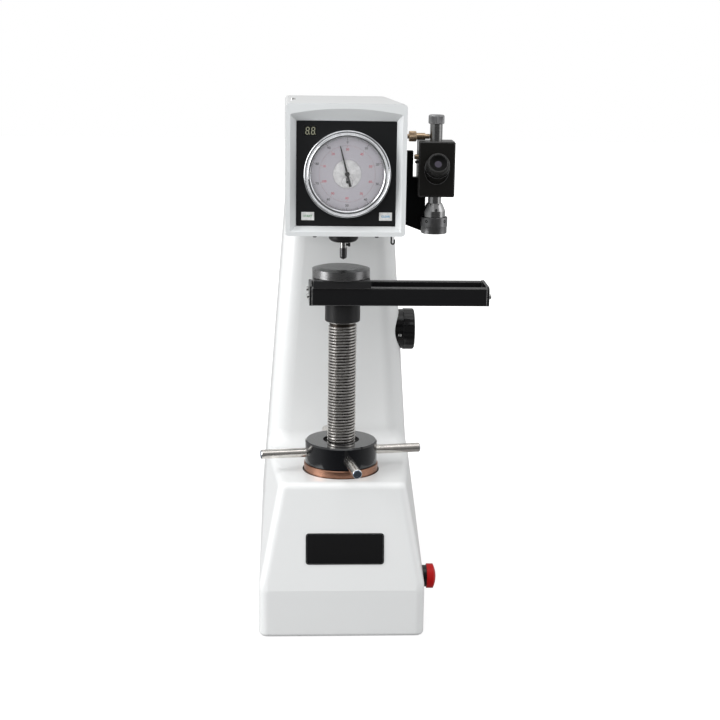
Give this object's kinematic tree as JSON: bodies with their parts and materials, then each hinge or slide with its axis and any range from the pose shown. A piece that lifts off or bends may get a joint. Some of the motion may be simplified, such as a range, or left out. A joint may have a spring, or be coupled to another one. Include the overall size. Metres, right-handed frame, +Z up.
{
  "type": "Rockwell hardness tester",
  "caption": "Bench hardness tester: tapered cast C-frame, dial head, elevating screw with handwheel, sliding rail stage and side microscope.",
  "frame": {"origin": "on the floor plane, on the common axis of the elevating screw and the indenter spindle", "axes": "+X to the operator's right, +Y to the back, +Z up along the elevating screw"},
  "size_m": [0.3045, 0.5104, 0.6995],
  "materials": {
    "white_paint": "satin",
    "trim_grey": "satin",
    "panel_black": "satin",
    "display_green": "gloss",
    "dial_white": "matte",
    "hand_black": "satin",
    "clear_glass": "gloss",
    "key_grey": "satin",
    "chrome": "polished",
    "steel": "brushed",
    "dark_steel": "satin",
    "black_oxide": "satin",
    "hub_black": "gloss",
    "bronze": "satin",
    "brass": "satin",
    "anodised_black": "satin",
    "satin_aluminium": "satin",
    "lens_coating": "gloss",
    "knob_black": "gloss",
    "stop_red": "gloss",
    "weight_iron": "matte",
    "lever_iron": "matte",
    "motor_grey": "satin"
  },
  "bodies": {
    "machine": {"frame_casting": "white_paint", "top_cover": "white_paint", "rear_cover": "white_paint", "cover_screws": "steel", "front_frame": "trim_grey", "front_panel": "panel_black", "display_module": "display_green", "dial_case": "panel_black", "spindle_housing": "black_oxide", "screw_guide": "bronze", "thrust_ring": "bronze", "microscope_bracket": "anodised_black", "microscope_body": "anodised_black", "lamp_tube": "anodised_black", "eyepiece_tube": "anodised_black", "objective_barrel": "satin_aluminium", "stop_collar": "knob_black", "lever_fulcrum": "steel", "load_motor": "motor_grey", "damper_cylinder": "steel", "power_inlet": "knob_black", "cable_hook": "black_oxide"},
    "bezel": {"dial_bezel": "chrome", "dial_glass": "clear_glass", "dial_face": "dial_white"},
    "main_hand": {"main_pointer": "hand_black"},
    "turn_hand": {"turn_pointer": "hand_black"},
    "start_button": {"start_key": "key_grey"},
    "clear_button": {"clear_key": "key_grey"},
    "indenter_spindle": {"spindle": "steel", "indenter_holder": "dark_steel", "indenter_tip": "steel", "indenter_screw": "dark_steel"},
    "handwheel": {"handwheel_hub": "hub_black", "handwheel_spokes": "chrome"},
    "rail_stage": {"elevating_screw": "steel", "screw_collar": "black_oxide", "stage_rail_front": "anodised_black", "stage_rail_rear": "anodised_black", "stage_end_left": "anodised_black", "stage_end_right": "anodised_black", "stage_screws": "steel"},
    "anvil_slide": {"slide_block": "black_oxide", "anvil": "dark_steel"},
    "cap": {"lamp_cap": "anodised_black"},
    "eyepiece": {"eyepiece_ring": "anodised_black", "eyepiece_lens": "lens_coating"},
    "objective": {"objective_ring": "anodised_black", "objective_lens": "lens_coating"},
    "clamp": {"clamp_screw": "brass"},
    "force_selector": {"force_ring": "knob_black", "force_knob": "knob_black", "selector_shaft": "steel"},
    "stop_rod": {"stop_plunger": "steel"},
    "stop_mushroom": {"stop_head": "stop_red"},
    "lever": {"loading_lever": "lever_iron"},
    "hanger": {"weight_hanger": "steel", "weight_discs": "weight_iron"},
    "piston": {"damper_piston": "steel"},
    "cam": {"lift_cam": "dark_steel"}
  },
  "joints": [
    {"name": "handwheel_turn", "type": "hinge", "parent": "machine", "child": "handwheel", "pos_m": [0, 0, 0.2305], "axis": [0, 0, 1], "range_deg": [-800, 13400]},
    {"name": "screw_lift", "type": "slide", "parent": "machine", "child": "rail_stage", "axis": [0, 0, 1], "range_m": [-0.1495, 0.009]},
    {"name": "anvil_slide_travel", "type": "slide", "parent": "rail_stage", "child": "anvil_slide", "axis": [1, 0, 0], "range_m": [0, 0.14]},
    {"name": "spindle_travel", "type": "slide", "parent": "machine", "child": "indenter_spindle", "axis": [0, 0, 1], "range_m": [0, 0.0006]},
    {"name": "pointer_turn", "type": "hinge", "parent": "machine", "child": "main_hand", "pos_m": [0.0015, -0.0572, 0.6115], "axis": [0, 1, 0], "range_deg": [-2, 1082]},
    {"name": "turn_counter", "type": "hinge", "parent": "machine", "child": "turn_hand", "pos_m": [0.0015, -0.0557, 0.6015], "axis": [0, 1, 0], "range_deg": [-110, 1]},
    {"name": "bezel_turn", "type": "hinge", "parent": "machine", "child": "bezel", "pos_m": [0.0015, -0.056, 0.6115], "axis": [0, 1, 0], "range_deg": [-180, 180]},
    {"name": "start_press", "type": "slide", "parent": "machine", "child": "start_button", "axis": [0, 1, 0], "range_m": [0, 0.0008], "stiffness_N_per_m": 600},
    {"name": "clear_press", "type": "slide", "parent": "machine", "child": "clear_button", "axis": [0, 1, 0], "range_m": [0, 0.0008], "stiffness_N_per_m": 600},
    {"name": "force_select", "type": "hinge", "parent": "machine", "child": "force_selector", "pos_m": [0.09, 0.158, 0.3675], "axis": [1, 0, 0], "continuous": true},
    {"name": "stop_press", "type": "slide", "parent": "machine", "child": "stop_rod", "axis": [-1, 0, 0], "range_m": [0, 0.004], "stiffness_N_per_m": 1500},
    {"name": "stop_twist", "type": "hinge", "parent": "stop_rod", "child": "stop_mushroom", "pos_m": [0.122, -0.055, 0.071], "axis": [-1, 0, 0], "range_deg": [0, 30], "stiffness_Nm_per_rad": 0.05},
    {"name": "eyepiece_turn", "type": "hinge", "parent": "machine", "child": "eyepiece", "pos_m": [0.119, -0.02, 0.614], "axis": [0, -0.866, 0.5], "range_deg": [-180, 180]},
    {"name": "objective_turn", "type": "hinge", "parent": "machine", "child": "objective", "pos_m": [0.119, 0, 0.5448], "axis": [0, 0, 1], "range_deg": [-120, 120]},
    {"name": "cap_turn", "type": "hinge", "parent": "machine", "child": "cap", "pos_m": [0.119, 0, 0.677], "axis": [0, 0, 1], "range_deg": [-180, 180]},
    {"name": "clamp_turn", "type": "hinge", "parent": "machine", "child": "clamp", "pos_m": [0.09, 0, 0.6555], "axis": [1, 0, 0], "range_deg": [-180, 180]},
    {"name": "cam_turn", "type": "hinge", "parent": "machine", "child": "cam", "pos_m": [0, 0.2415, 0.12], "axis": [1, 0, 0], "range_deg": [-1, 301]},
    {"name": "lever_tilt", "type": "hinge", "parent": "machine", "child": "lever", "pos_m": [0, -0.0105, 0.612], "axis": [1, 0, 0], "range_deg": [-3, 0.05]},
    {"name": "hanger_drop", "type": "slide", "parent": "machine", "child": "hanger", "axis": [0, 0, 1], "range_m": [-0.012, 0]},
    {"name": "piston_drop", "type": "slide", "parent": "machine", "child": "piston", "axis": [0, 0, 1], "range_m": [-0.016, 0.0001]}
  ],
  "couplings": [
    {"joint": "screw_lift", "follows": "handwheel_turn", "m_per_rad": -0.00063662},
    {"joint": "pointer_turn", "follows": "spindle_travel", "rad_per_m": 31416},
    {"joint": "turn_counter", "follows": "spindle_travel", "rad_per_m": -3141.6},
    {"joint": "cam_turn", "follows": "hanger_drop", "rad_per_m": -436.33},
    {"joint": "lever_tilt", "follows": "hanger_drop", "rad_per_m": 3.9683},
    {"joint": "piston_drop", "follows": "hanger_drop", "ratio": 1.2798}
  ]
}
